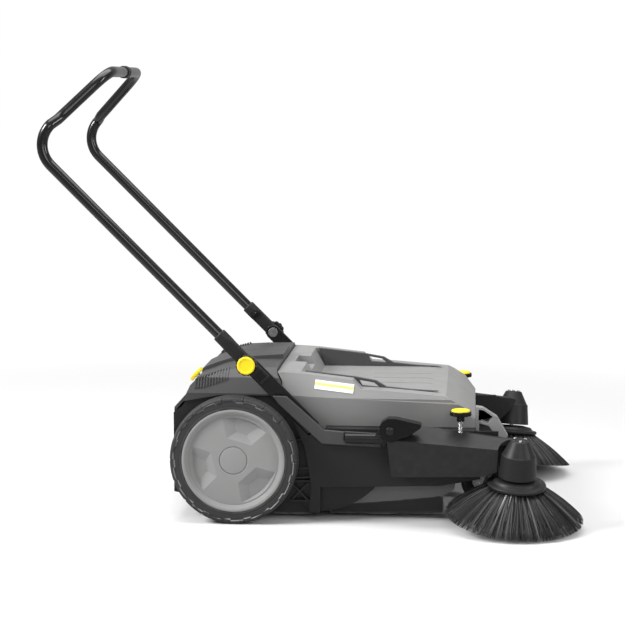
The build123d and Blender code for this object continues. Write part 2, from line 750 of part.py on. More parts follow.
def write_handle():
    """The folding push handle and its clamp knobs."""
    save("handle_tube", handle_tube())
    x, z = handle_frame_point(handle_lower_length, handle_upper_length)
    save("handle_sleeve", ring(x, z, handle_tube_radius + 2.5, handle_tube_radius, -14, 14))
    save_both("handle_sockets", handle_socket())
    save_pair("clamp_knob", clamp_knob())


def write_drive():
    """The two ground wheels, their gears and the main roller."""
    save_pair("wheel_hub", wheel_hub())
    save_pair("tyre", tyre())
    cap = turned_y([(0, 322.2), (31.3, 322.2), (31.3, 327), (24, 329.5), (0, 331)], 0, axle_z)
    save_pair("hub_cap", cap)
    wheel_gear = gear(wheel_gear_teeth, mesh_angle, 0, axle_z, axle_radius + running_gap)
    save_pair("drive_gear", wheel_gear)
    pinion_angle = mesh_angle + 180 + 180 / pinion_teeth
    free_bore = roller_shaft_radius + running_gap
    save("roller_pinion_left", gear(pinion_teeth, pinion_angle, roller_axis_x, roller_axis_z, free_bore))
    fixed = gear(pinion_teeth, pinion_angle, roller_axis_x, roller_axis_z, roller_shaft_radius)
    save("roller_pinion_right", flipped(fixed))
    shaft_end = belt_y + 3.2
    save("roller_shaft", rod(roller_axis_x, roller_axis_z, roller_shaft_radius, -shaft_end, shaft_end))
    save("roller_core", ring(roller_axis_x, roller_axis_z, roller_core_radius, roller_shaft_radius,
                             -roller_half_length, roller_half_length))
    save("roller_bristles", roller_bristles())
    save_both("belt_pulleys", belt_pulley())


def write_arms():
    """The two hinged side arms with their driven brushes."""
    save_pair("arm_hinge_lever", arm_hinge_lever())
    save_pair("side_arm", side_arm())
    save_pair("brush_head", brush_head())
    screws = head_screws()
    save("head_screws_left", *screws)
    save("head_screws_right", *[flipped(screw) for screw in screws])
    save_pair("brush_spindle", brush_spindle())
    save_pair("brush_disc", brush_disc())
    save_pair("side_bristles", side_bristles())
    save_pair("height_knob", height_knob())


def write_container():
    """The lift-out dirt container."""
    save("container_hood", container_hood())
    save("container_tub", container_tub())
    save("container_front_grip", container_front_grip())
    save_both("container_grips", container_grip())
    save_both("label_plates", label_plate())
    save_both("container_seals", container_seal())


def write_caster():
    """The swivelling front caster."""
    save("caster_fork", caster_fork())
    save("caster_axle", caster_axle())
    save("caster_wheel", caster_wheel())


os.makedirs("parts", exist_ok=True)
write_frame()
write_handle()
write_drive()
write_arms()
write_container()
write_caster()
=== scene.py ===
import json
import math
import random

import bmesh
import bpy
from mathutils import Matrix, Vector


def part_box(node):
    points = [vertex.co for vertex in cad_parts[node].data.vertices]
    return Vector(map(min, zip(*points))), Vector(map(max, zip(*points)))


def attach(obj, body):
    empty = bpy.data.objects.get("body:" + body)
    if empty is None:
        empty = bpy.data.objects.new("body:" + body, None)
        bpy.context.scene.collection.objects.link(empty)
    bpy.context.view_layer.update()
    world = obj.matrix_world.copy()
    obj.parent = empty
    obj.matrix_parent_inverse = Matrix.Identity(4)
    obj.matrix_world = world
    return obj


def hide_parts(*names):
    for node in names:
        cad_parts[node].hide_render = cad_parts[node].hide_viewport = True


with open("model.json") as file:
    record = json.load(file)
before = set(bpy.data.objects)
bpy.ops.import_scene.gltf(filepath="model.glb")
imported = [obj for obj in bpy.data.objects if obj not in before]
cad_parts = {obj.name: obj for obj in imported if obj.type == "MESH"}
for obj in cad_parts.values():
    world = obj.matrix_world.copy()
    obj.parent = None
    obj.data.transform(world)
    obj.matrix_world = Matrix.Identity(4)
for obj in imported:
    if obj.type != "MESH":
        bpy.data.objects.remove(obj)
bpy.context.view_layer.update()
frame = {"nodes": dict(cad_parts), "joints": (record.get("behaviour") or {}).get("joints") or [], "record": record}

MM = 0.001
JOINTS = {joint["name"]: joint for joint in frame["joints"]}
SIDES = (("left", 1), ("right", -1))


# ---------------------------------------------------------------- materials

MIX_FACTOR, MIX_FIRST, MIX_SECOND, MIX_RESULT = 0, 6, 7, 2    # the Mix node's sockets for colours


class Nodes:
    """A short way to add and link shader nodes."""

    def __init__(self, name):
        self.material = bpy.data.materials.new(name)
        self.material.use_nodes = True
        self.tree = self.material.node_tree
        self.surface = self.tree.nodes["Principled BSDF"]
        self.place = self.add("ShaderNodeTexCoord").outputs["Object"]

    def add(self, kind, **inputs):
        node = self.tree.nodes.new(kind)
        for key, value in inputs.items():
            self.put(node, key, value)
        return node

    def plug(self, socket, value):
        """Feed an input socket from another node's output, or with a plain value."""
        if isinstance(value, bpy.types.NodeSocket):
            self.tree.links.new(value, socket)
        else:
            socket.default_value = value

    def put(self, node, key, value):
        self.plug(node.inputs[key.replace("_", " ")], value)

    def noise(self, scale, detail=3.0, roughness=0.55, stretch=None):
        place = self.place
        if stretch:
            place = self.add("ShaderNodeMapping", Vector=place, Scale=stretch).outputs["Vector"]
        return self.add("ShaderNodeTexNoise", Vector=place, Scale=scale, Detail=detail,
                        Roughness=roughness).outputs["Fac"]

    def ramp(self, factor, low, high, dark=0.0, light=1.0):
        node = self.add("ShaderNodeMapRange", Value=factor)
        for key, value in (("From Min", low), ("From Max", high), ("To Min", dark), ("To Max", light)):
            node.inputs[key].default_value = value
        return node.outputs["Result"]

    def math(self, operation, a, b):
        node = self.tree.nodes.new("ShaderNodeMath")
        node.operation = operation
        for socket, value in zip(node.inputs, (a, b)):
            self.plug(socket, value)
        return node.outputs["Value"]

    def mix(self, factor, a, b):
        node = self.tree.nodes.new("ShaderNodeMix")
        node.data_type = "RGBA"
        for index, value in ((MIX_FACTOR, factor), (MIX_FIRST, a), (MIX_SECOND, b)):
            self.plug(node.inputs[index], value)
        return node.outputs[MIX_RESULT]

    def bump(self, height, strength, distance, normal=None):
        node = self.add("ShaderNodeBump", Height=height, Strength=strength, Distance=distance)
        if normal is not None:
            self.put(node, "Normal", normal)
        return node.outputs["Normal"]

    def finish(self, colour, roughness, normal, **more):
        self.put(self.surface, "Base Color", colour)
        self.put(self.surface, "Roughness", roughness)
        self.put(self.surface, "Normal", normal)
        for key, value in more.items():
            self.put(self.surface, key, value)
        return self.material


def tone(value, tint=(1.0, 1.0, 1.0), factor=1.0):
    """A tinted grey as a colour with alpha."""
    return tuple(min(1.0, value * t * factor) for t in tint) + (1.0,)


def moulded(name, value, roughness, tint=(1, 1, 1), grain=0.25, scuffs=0.12, coat=0.0, shine=0.3):
    """Moulded plastic: fine spark grain, slow colour drift, a painted highlight on sharp edges and corners, and
    faint scuffs.
    """
    n = Nodes(name)
    drift = n.noise(7.0, 2.0)
    speckle = n.noise(900.0, 1.0)
    colour = n.mix(drift, tone(value, tint, 0.88), tone(value, tint, 1.12))
    colour = n.mix(n.ramp(speckle, 0.35, 0.75, 0.0, 0.18), colour, tone(value, tint, 1.35))
    # painted highlight: sharp edges and corners are lightened in patches in the colour itself
    edge = n.add("ShaderNodeNewGeometry").outputs["Pointiness"]
    edge_highlight = n.math("MULTIPLY", n.ramp(edge, 0.72, 0.82, 0.0, 0.3), n.ramp(n.noise(60.0), 0.35, 0.7))
    colour = n.mix(edge_highlight, colour, tone(value + 0.004, tint, 1.7))
    scratch = n.ramp(n.noise(38.0, 6.0, 0.7, (1, 9, 9)), 0.60, 0.72)
    colour = n.mix(n.math("MULTIPLY", scratch, scuffs), colour, tone(value + 0.03, tint, 1.5))
    rough = n.ramp(n.noise(22.0, 4.0), 0.2, 0.8, roughness - 0.06, roughness + 0.08)
    normal = n.bump(n.noise(1500.0, 2.0), grain, 0.0002)
    normal = n.bump(n.noise(5.0, 2.0), 0.04, 0.01, normal)
    return n.finish(colour, rough, normal, Specular_IOR_Level=shine, Coat_Weight=coat, Coat_Roughness=0.12)


def enamel(name, value, roughness, tint=(1, 1, 1), coat=0.3):
    """Powder-coated steel: dark gloss with a faint orange-peel surface and dust."""
    n = Nodes(name)
    colour = n.mix(n.noise(9.0, 2.0), tone(value, tint, 0.8), tone(value, tint, 1.25))
    dust = n.ramp(n.noise(60.0, 4.0, 0.6), 0.55, 0.8, 0.0, 0.25)
    colour = n.mix(dust, colour, tone(value + 0.012, tint))
    edge = n.add("ShaderNodeNewGeometry").outputs["Pointiness"]
    chip = n.math("MULTIPLY", n.ramp(edge, 0.56, 0.66), n.ramp(n.noise(240.0), 0.5, 0.6))
    colour = n.mix(n.math("MULTIPLY", chip, 0.4), colour, (0.12, 0.12, 0.12, 1.0))
    rough = n.ramp(n.noise(30.0, 3.0), 0.2, 0.8, roughness - 0.05, roughness + 0.08)
    normal = n.bump(n.noise(420.0, 2.0), 0.05, 0.0002)
    return n.finish(colour, rough, normal, Specular_IOR_Level=0.3, Coat_Weight=coat, Coat_Roughness=0.08)


def metal(name, value, roughness, grain_axis=(1, 1, 30)):
    """Bright plated or turned steel, with a brushed grain."""
    n = Nodes(name)
    lines = n.noise(260.0, 4.0, 0.6, grain_axis)
    colour = n.mix(lines, tone(value, (1, 1, 1.01), 0.8), tone(value, (1, 1, 1.01), 1.1))
    rough = n.ramp(lines, 0.2, 0.8, roughness - 0.05, roughness + 0.1)
    normal = n.bump(lines, 0.12, 0.0002)
    return n.finish(colour, rough, normal, Metallic=1.0)


def rubber(name, value, roughness=0.62):
    """Matt black rubber: fine moulded pimple, with a painted highlight on edges and on the marked lug steps."""
    n = Nodes(name)
    # painted highlight: edges and the tyre's marked lug steps are lightened in the colour itself
    edge = n.add("ShaderNodeNewGeometry").outputs["Pointiness"]
    colour = n.mix(n.noise(14.0, 4.0), tone(value, factor=0.85), tone(value, factor=1.25))
    highlight_attribute = n.add("ShaderNodeAttribute")
    highlight_attribute.attribute_name = "painted_highlight"
    edge_highlight = n.math("MAXIMUM", n.math("MULTIPLY", n.ramp(edge, 0.53, 0.60), 0.5), highlight_attribute.outputs["Fac"])
    painted_highlight = n.math("MULTIPLY", edge_highlight, n.ramp(n.noise(34.0, 5.0), 0.40, 0.56))
    colour = n.mix(painted_highlight, colour, (0.27, 0.27, 0.27, 1.0))
    normal = n.bump(n.noise(900.0, 3.0), 0.35, 0.0003)
    rough = n.ramp(n.noise(50.0), 0.2, 0.8, roughness - 0.08, roughness + 0.1)
    return n.finish(colour, rough, normal, Specular_IOR_Level=0.3)


def bristle(name, value):
    """Drawn nylon bristle: dark, with a painted lengthwise sheen in the colour that is brighter on some strands
    than others.
    """
    n = Nodes(name)
    strand = n.add("ShaderNodeAttribute")
    strand.attribute_name = "strand"
    each = strand.outputs["Fac"]
    # painted sheen: each strand's value runs the colour from dark to light
    colour = n.mix(each, tone(value, factor=0.2), tone(value, factor=7.0))
    rough = n.ramp(each, 0.0, 1.0, 0.45, 0.55)
    normal = n.bump(n.noise(700.0, 2.0), 0.2, 0.0002)
    return n.finish(colour, rough, normal, Specular_IOR_Level=0.35)


LABEL_FALL = math.tan(math.radians(6.8))    # the plate slopes down towards the front
BAND_RISE = 1.5 * MM
BAND_HALF_HEIGHT = 3.0 * MM


def blank_label(name):
    """A blank self-adhesive plate: white film with one plain yellow band and no lettering."""
    n = Nodes(name)
    low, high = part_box("label_plates")
    position = n.add("ShaderNodeSeparateXYZ", Vector=n.place)
    fallen = n.math("MULTIPLY", position.outputs["X"], LABEL_FALL)
    level = n.math("ADD", position.outputs["Z"], fallen)
    middle = (low.z + high.z) / 2 + LABEL_FALL * (low.x + high.x) / 2
    band = n.math("COMPARE", level, middle + BAND_RISE)
    band.node.inputs[2].default_value = BAND_HALF_HEIGHT
    paper = n.mix(n.noise(60.0), (0.78, 0.78, 0.76, 1), (0.88, 0.88, 0.86, 1))
    colour = n.mix(band, paper, (0.86, 0.68, 0.16, 1.0))
    return n.finish(colour, n.ramp(n.noise(80.0), 0.2, 0.8, 0.3, 0.42), n.bump(n.noise(500.0), 0.05, 0.0001))


GREY = moulded("housing_grey", 0.215, 0.42, (1.0, 0.995, 0.985))
# painted shade: the housing grey made darker for the tub, which sits in shade under the chassis
TUB_SHADED_GREY = moulded("tub_painted_shade", 0.125, 0.46, (1.0, 0.995, 0.985))
RIM = moulded("rim_grey", 0.225, 0.36, (1.0, 0.995, 0.985), scuffs=0.08)
DARK = moulded("housing_dark", 0.045, 0.44, (1.0, 1.0, 1.01), shine=0.35)
BLACK = moulded("housing_black", 0.0125, 0.44, shine=0.24)
GLOSS = moulded("gloss_black", 0.003, 0.22, grain=0.05, coat=0.15, shine=0.14)
YELLOW = moulded("yellow", 0.86, 0.34, (1.0, 0.72, 0.015), grain=0.08, scuffs=0.04)
NATURAL = moulded("bearing_plastic", 0.45, 0.42, (1.0, 0.95, 0.82))
PAINT = enamel("handle_paint", 0.0045, 0.22)
STRUT = enamel("bracket_paint", 0.005, 0.32, coat=0.06)
STEEL = metal("steel", 0.62, 0.22)
TYRE = rubber("tyre_rubber", 0.026)
SEAL = rubber("seal_rubber", 0.014, 0.5)
BRISTLE = bristle("bristle_black", 0.023)
ROLLER_BRISTLE = bristle("bristle_grey", 0.040)
LABEL = blank_label("label_white")

NODES_BY_FINISH = (
    (GREY, "container_hood container_front_grip"),
    (TUB_SHADED_GREY, "container_tub"),
    (RIM, "wheel_hub hub_cap"),
    (DARK, "rear_cover side_rails container_grips"),
    (BLACK, "chassis handle_sockets roller_core clamp_knob drive_gear side_arm brush_head brush_disc"),
    (GLOSS, "arm_hinge_lever height_knob"),
    (YELLOW, "adjuster_knob"),
    (NATURAL, "roller_bearings belt_guides roller_pinion belt_pulleys"),
    (PAINT, "handle_tube"),
    (STRUT, "handle_brackets arm_mounts arm_hinge_bolts"),
    (STEEL, "pivot_bolts axle_stubs axle_clips caster_retainer adjuster_spindle roller_shaft caster_fork "
            "caster_axle head_screws brush_spindle"),
    (TYRE, "caster_wheel tyre"),
    (SEAL, "sealing_strips drive_belts handle_sleeve container_seals"),
    (BRISTLE, "side_bristles"),
    (ROLLER_BRISTLE, "roller_bristles"),
    (LABEL, "label_plates"),
)
NODE_FINISH = {node: finish for finish, nodes in NODES_BY_FINISH for node in nodes.split()}


# ---------------------------------------------------------------- mesh helpers

def base_name(node):
    """A node's name without its side."""
    return node.removesuffix("_left").removesuffix("_right")


def finish_of(node):
    return NODE_FINISH[base_name(node)]


def body_of_node(node):
    for body, members in frame["record"]["behaviour"]["bodies"].items():
        if node in members:
            return body
    raise KeyError(node)


def make(name, verts, faces, material, sharp=35.0):
    """A mesh object with smooth shading that breaks at edges sharper than an angle."""
    mesh = bpy.data.meshes.new(name)
    mesh.from_pydata([tuple(v) for v in verts], [], faces)
    mesh.materials.append(material)
    finish_mesh(mesh, sharp)
    piece = bpy.data.objects.new(name, mesh)
    bpy.context.scene.collection.objects.link(piece)
    return piece


def finish_mesh(mesh, sharp):
    """Turn all faces outwards and shade smooth, broken at sharp edges."""
    work = bmesh.new()
    work.from_mesh(mesh)
    bmesh.ops.recalc_face_normals(work, faces=work.faces)
    work.to_mesh(mesh)
    work.free()
    mesh.shade_smooth()
    mesh.set_sharp_from_angle(angle=math.radians(sharp))


def middle_of(node):
    """The middle of a CAD node's box."""
    low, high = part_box(node)
    return (low + high) / 2


def stand_for(piece, body, *nodes):
    """Ride on a body, in place of CAD nodes."""
    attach(piece, body)
    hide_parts(*nodes)


def apply_modifiers(piece):
    """Bake a piece's modifiers into its mesh."""
    graph = bpy.context.evaluated_depsgraph_get()
    mesh = bpy.data.meshes.new_from_object(piece.evaluated_get(graph))
    old = piece.data
    piece.modifiers.clear()
    piece.data = mesh
    mesh.name = old.name
    bpy.data.meshes.remove(old)


def rounded_copy(node, width, segments=3, angle=24.0):
    """A copy of a CAD node's shape with rounded edges, which stands for the node."""
    mesh = frame["nodes"][node].data.copy()
    mesh.materials.clear()
    mesh.materials.append(finish_of(node))
    work = bmesh.new()
    work.from_mesh(mesh)
    bmesh.ops.remove_doubles(work, verts=work.verts, dist=0.01 * MM)
    bmesh.ops.dissolve_limit(work, angle_limit=math.radians(1.0), verts=work.verts, edges=work.edges)
    work.to_mesh(mesh)
    work.free()
    piece = bpy.data.objects.new(node + "_shell", mesh)
    bpy.context.scene.collection.objects.link(piece)
    bevel = piece.modifiers.new("round", "BEVEL")
    bevel.width = width
    bevel.segments = segments
    bevel.limit_method = "ANGLE"
    bevel.angle_limit = math.radians(angle)
    bevel.use_clamp_overlap = True
    bevel.miter_outer = "MITER_ARC"
    apply_modifiers(piece)
    piece.data.shade_smooth()
    piece.data.set_sharp_from_angle(angle=math.radians(38.0))
    level = piece.modifiers.new("flat_faces", "WEIGHTED_NORMAL")
    level.keep_sharp = True
    level.weight = 100
    apply_modifiers(piece)
    stand_for(piece, body_of_node(node), node)


def lathe(profile, segments):
    """Verts and faces of a profile of (radius, height) points turned about Z."""
    verts, faces = [], []
    for radius, height in profile:
        for i in range(segments):
            turn = 2 * math.pi * i / segments
            verts.append(Vector((radius * math.cos(turn), radius * math.sin(turn), height)))
    for row in range(len(profile) - 1):
        for i in range(segments):
            j = (i + 1) % segments
            a, b = row * segments, (row + 1) * segments
            faces.append((a + i, a + j, b + j, b + i))
    return verts, faces


def capped(verts, faces, rows, segments):
    """Close the first and last rings of a lathe."""
    faces.append(tuple(reversed(range(segments))))
    last = (rows - 1) * segments
    faces.append(tuple(range(last, last + segments)))
    return verts, faces


def turned(profile, segments):
    """A profile in mm turned about Z."""
    return lathe([(radius * MM, height * MM) for radius, height in profile], segments)


def solid_of_turn(profile, segments):
    """A profile in mm turned about Z, with its ends closed."""
    verts, faces = turned(profile, segments)
    return capped(verts, faces, len(profile), segments)


def rounded_profile(points, radius, steps=4):
    """An open profile with its inner corners rounded."""
    out = [points[0]]
    for before, corner, after in zip(points, points[1:], points[2:]):
        c = Vector(corner)
        to_a, to_b = Vector(before) - c, Vector(after) - c
        reach = min(radius, to_a.length * 0.45, to_b.length * 0.45)
        a, b = c + to_a.normalized() * reach, c + to_b.normalized() * reach
        for i in range(steps + 1):
            t = i / steps
            out.append(tuple(a * (1 - t) ** 2 + c * 2 * t * (1 - t) + b * t * t))
    out.append(points[-1])
    return out


def place(verts, matrix):
    """Points moved by a matrix."""
    return [matrix @ v for v in verts]


def axis_frame(origin, axis, side_hint=(1, 0, 0)):
    """A matrix whose Z runs along an axis."""
    z = Vector(axis).normalized()
    x = (Vector(side_hint) - z * Vector(side_hint).dot(z)).normalized()
    y = z.cross(x)
    matrix = Matrix((x, y, z)).transposed().to_4x4()
    matrix.translation = Vector(origin)
    return matrix


def smooth_step(value):
    """A soft ramp from 0 to 1, flat outside that range."""
    value = max(0.0, min(1.0, value))
    return value * value * (3 - 2 * value)


def tube(path, radius, sides=24, closed=False):
    """Verts and faces of a round tube along a list of points."""
    count = len(path)
    tangents = []
    for i, point in enumerate(path):
        before = path[i - 1] if i or closed else point
        after = path[(i + 1) % count] if i + 1 < count or closed else point
        tangents.append((after - before).normalized())
    normals = [tangents[0].orthogonal().normalized()]
    for tangent in tangents[1:]:
        carried = normals[-1] - tangent * normals[-1].dot(tangent)
        normals.append(carried.normalized())
    slip = 0.0
    if closed:
        carried = (normals[-1] - tangents[0] * normals[-1].dot(tangents[0])).normalized()
        slip = math.atan2(tangents[0].cross(carried).dot(normals[0]), carried.dot(normals[0]))
    verts, faces = [], []
    for i, (point, tangent, normal) in enumerate(zip(path, tangents, normals)):
        across = tangent.cross(normal)
        for k in range(sides):
            turn = 2 * math.pi * k / sides + slip * i / count
            verts.append(point + (normal * math.cos(turn) + across * math.sin(turn)) * radius)
    for i in range(count if closed else count - 1):
        a, b = i * sides, (i + 1) % count * sides
        for k in range(sides):
            j = (k + 1) % sides
            faces.append((a + k, a + j, b + j, b + k))
    if not closed:
        capped(verts, faces, count, sides)
    return verts, faces


def quarter_turn(corner, inward, outward, reach, steps=14):
    """Points of a square bend between two directions, tangent to both."""
    centre = corner - inward * reach + outward * reach
    turns = [math.pi / 2 * i / steps for i in range(steps + 1)]
    return [centre - outward * reach * math.cos(t) + inward * reach * math.sin(t) for t in turns]


def grid(rows, columns, point, wrap_rows=False):
    """Verts and faces of a sheet of points that closes on itself along its columns."""
    verts = [point(row, column) for row in range(rows) for column in range(columns)]
    faces = []
    for row in range(rows if wrap_rows else rows - 1):
        a, b = row * columns, (row + 1) % rows * columns
        for column in range(columns):
            following = (column + 1) % columns
            faces.append((a + column, a + following, b + following, b + column))
    return verts, faces


def joined(*parts):
    """Several sets of verts and faces as one."""
    verts, faces = [], []
    for more_verts, more_faces in parts:
        shift = len(verts)
        verts += more_verts
        faces += [tuple(i + shift for i in face) for face in more_faces]
    return verts, faces


def mirrored(verts, faces):
    """The same shape on the other side of the machine."""
    return [Vector((v.x, -v.y, v.z)) for v in verts], [tuple(reversed(face)) for face in faces]


# ---------------------------------------------------------------- wheels

# Profiles are (radius, distance from the machine's middle plane) for hubs and knobs on the axle or handle
# pivot, and (radius, height) for turned parts that stand upright, all in mm.
AXLE = Vector((0.0, 0.0, 147.0)) * MM
TYRE_MIDDLE = 307.0
LUGS = 18
POCKET_MIDDLES = (73, 193, 313)
POCKET_DEPTH = 9.0


def wheel_frame(side):
    """Local Z points outwards along the axle; local X is forward."""
    return axis_frame(AXLE, (0, side, 0))


def tyre_section():
    """The tyre's plain section from bead to bead, as (radius, distance from the tyre's own middle)."""
    bead = [(118.0, 22.0), (119.0, 23.2), (120.6, 23.8), (122.6, 23.7), (123.4, 22.8), (124.2, 22.7)]
    sidewall = [(125.2, 23.0), (128.0, 23.0), (131.0, 22.9), (133.4, 22.8)]
    lug_feet = [(134.0 + 0.5 * i, 22.7 - 0.05 * i) for i in range(14)]
    shoulder = [(141.4, 21.8), (142.6, 21.0), (143.4, 20.0), (144.0, 18.8), (144.5, 17.4), (144.9, 15.8),
                (145.2, 13.6), (145.7, 11.6)]
    groove_edge = [(145.75, 10.6), (145.75, 9.8), (145.75, 9.0), (145.8, 8.2), (145.8, 7.4), (145.8, 6.6)]
    crown = [(145.8, 4.8), (145.8, 2.4), (145.8, 0.0)]
    half = bead + sidewall + lug_feet + shoulder + groove_edge + crown
    return half + [(radius, -out) for radius, out in reversed(half[:-1])]


def tyre(name, side):
    """A rubber tyre: smooth sidewall, shoulder lugs with stepped feet, and a grooved tread."""
    section = tyre_section()
    slopes = []
    for before, after in zip(section[:1] + section, section[1:] + section[-1:]):
        along = Vector(after) - Vector(before)
        slopes.append(Vector((along.y, -along.x)).normalized() * -1)
    around = 720
    lug_highlight = []

    def point(row, column):
        radius, out = section[row]
        turn = 2 * math.pi * column / around
        beat = (turn * LUGS / (2 * math.pi) + (0.5 if out < 0 else 0.0)) % 1.0
        foot = 134.2 + 3.8 * smooth_step((beat - 0.34) / 0.05) - 1.4 * beat
        # painted highlight: a band along each lug foot's step on the sidewall, read by the rubber's colour
        lug_highlight.append(max(0.0, 1.0 - abs(radius - foot - 0.7) / 1.5) if abs(out) > 18 else 0.0)
        raised = smooth_step((radius - foot) / 1.1)
        gap = smooth_step((min(beat, 1 - beat) - 0.026) / 0.024)
        cross = smooth_step((abs((beat + 0.32) % 1.0 - 0.5) - 0.028) / 0.02)
        seam = smooth_step((abs(abs(out) - 8.6) - 1.2) / 0.5)
        shape = raised * (gap if abs(out) > 8.6 else cross) * seam
        lift = slopes[row] * (1.15 + 1.0 * smooth_step((abs(out) - 17.0) / 4.0)) * shape
        radius, out = radius + lift.x, out + lift.y
        return Vector((radius * math.cos(turn), radius * math.sin(turn), out + TYRE_MIDDLE)) * MM

    verts, faces = grid(len(section), around, point, wrap_rows=True)
    piece = make(f"tyre_tread_{name}", place(verts, wheel_frame(side)), faces, TYRE, 28)
    piece.data.attributes.new("painted_highlight", "FLOAT", "POINT").data.foreach_set("value", lug_highlight)
    stand_for(piece, f"wheel_{name}", f"tyre_{name}")


def pocket_depth(radius, turn):
    """Depth in mm of the sunk pockets at a point on a wheel face: flat floors with sloping walls."""
    depth = 0.0
    for middle in POCKET_MIDDLES:
        away = abs((math.degrees(turn) - middle + 180) % 360 - 180)
        if away < 40:
            floor_half = 11.0 + 8.5 * (radius - 65.0) / 27.0
            flank = (32.0 - away) / max(1.0, 32.0 - floor_half)
            inner = (radius * math.cos(math.radians(away)) - 46.0) / 18.0
            outer = (99.0 - radius) / 4.5
            depth = max(depth, POCKET_DEPTH * max(0.0, min(1.0, flank, inner, outer)))
    return depth


def wheel_hub(name, side):
    """A moulded wheel centre: stepped dished rim, three sunk pockets, a low dome and a boss."""
    boss = [(10.1, 318.0), (19.6, 318.0), (20.0, 322.0), (31.7, 322.0), (32.0, 325.6), (32.6, 326.3),
            (34.0, 326.5)]
    dome = [(35.2 + 1.2 * i, 326.5 - 3.4 * (i / 55) ** 2) for i in range(56)]
    rim = [(102.4, 322.8), (103.6, 322.7), (104.2, 323.2), (104.6, 324.6), (106.6, 325.6), (107.2, 327.2),
           (109.2, 328.2), (109.8, 329.8), (111.4, 330.7), (113.0, 331.2), (115.6, 331.3), (117.2, 330.8),
           (118.0, 329.6)]
    back = [(118.0, 283.0), (110.0, 283.0), (110.0, 300.0), (96.0, 312.0), (32.0, 312.0), (32.0, 284.0),
            (52.0, 282.0), (52.0, 269.0), (10.1, 269.0)]
    front = boss + dome + rim
    section = front + back
    around = 540

    def point(row, column):
        radius, out = section[row]
        turn = 2 * math.pi * column / around
        if row < len(front) and 40 < radius < 102:
            out -= pocket_depth(radius, turn)
        return Vector((radius * math.cos(turn), radius * math.sin(turn) * -side, out)) * MM

    verts, faces = grid(len(section), around, point, wrap_rows=True)
    place_in = wheel_frame(side)
    piece = make(f"wheel_centre_{name}", place(verts, place_in), faces, RIM, 30)
    stand_for(piece, f"wheel_{name}", f"wheel_hub_{name}")
    cap = rounded_profile([(0.02, 327.6), (8.0, 327.5), (22.0, 327.0), (29.6, 326.4), (31.2, 325.6),
                           (31.3, 322.2), (0.02, 322.2)], 1.0, 4)
    verts, faces = solid_of_turn(cap, 96)
    piece = make(f"hub_cover_{name}", place(verts, place_in), faces, RIM, 40)
    stand_for(piece, f"wheel_{name}", f"hub_cap_{name}")


# ---------------------------------------------------------------- handle

PIVOT = Vector((29.0, 0.0, 364.0)) * MM
HANDLE_UP = Vector((-1, 0, 1)).normalized()
HANDLE_FORWARD = Vector((1, 0, 1)).normalized()
TUBE_Y = 280.0
TUBE_RADIUS = 12.5 * MM
LOW_BEND_REACH = 65.0 * MM
HIGH_BEND_REACH = 52.0 * MM


def handle_point(along, across, y):
    """A point measured in mm along and across the handle's lower tube, and out from the middle plane."""
    return PIVOT + HANDLE_UP * along * MM + HANDLE_FORWARD * across * MM + Vector((0, y * MM, 0))


def handle_tube():
    """One bent steel tube: two legs, two forward arms and a crossbar, with soft bends."""
    inward = Vector((0, -1, 0))
    start = handle_point(66, 0, TUBE_Y)
    corner = handle_point(700, 0, TUBE_Y)
    top = handle_point(700, 235, 0)
    path = [start + (corner - start) * (i / 12) for i in range(11)]
    path += quarter_turn(corner, HANDLE_UP, HANDLE_FORWARD, LOW_BEND_REACH)
    knee = Vector((top.x, 198 * MM, top.z))
    ahead = (knee - corner).normalized()
    low_knee = corner + ahead * LOW_BEND_REACH
    high_knee = knee - ahead * HIGH_BEND_REACH
    path += [low_knee + (high_knee - low_knee) * (i / 6) for i in range(1, 6)]
    for i in range(15):
        share = i / 14
        path.append(high_knee * (1 - share) ** 2 + knee * 2 * share * (1 - share)
                    + (knee + inward * HIGH_BEND_REACH) * share ** 2)
    path += [Vector((top.x, y * MM, top.z)) for y in (120, 90, 60, 30, 0)]
    path += [Vector((p.x, -p.y, p.z)) for p in reversed(path[:-1])]
    verts, faces = tube(path, TUBE_RADIUS, 36)
    piece = make("handle_bar", verts, faces, PAINT, 50)
    stand_for(piece, "handle", "handle_tube")
    rows = rounded_profile([(12.6, -14.0), (15.0, -14.0), (15.0, -5.5), (14.2, -4.5), (14.2, 4.5),
                            (15.0, 5.5), (15.0, 14.0), (12.6, 14.0)], 0.8, 4)
    verts, faces = turned(rows, 64)
    piece = make("crossbar_sleeve", place(verts, axis_frame(top, (0, 1, 0))), faces, SEAL, 40)
    stand_for(piece, "handle", "handle_sleeve")


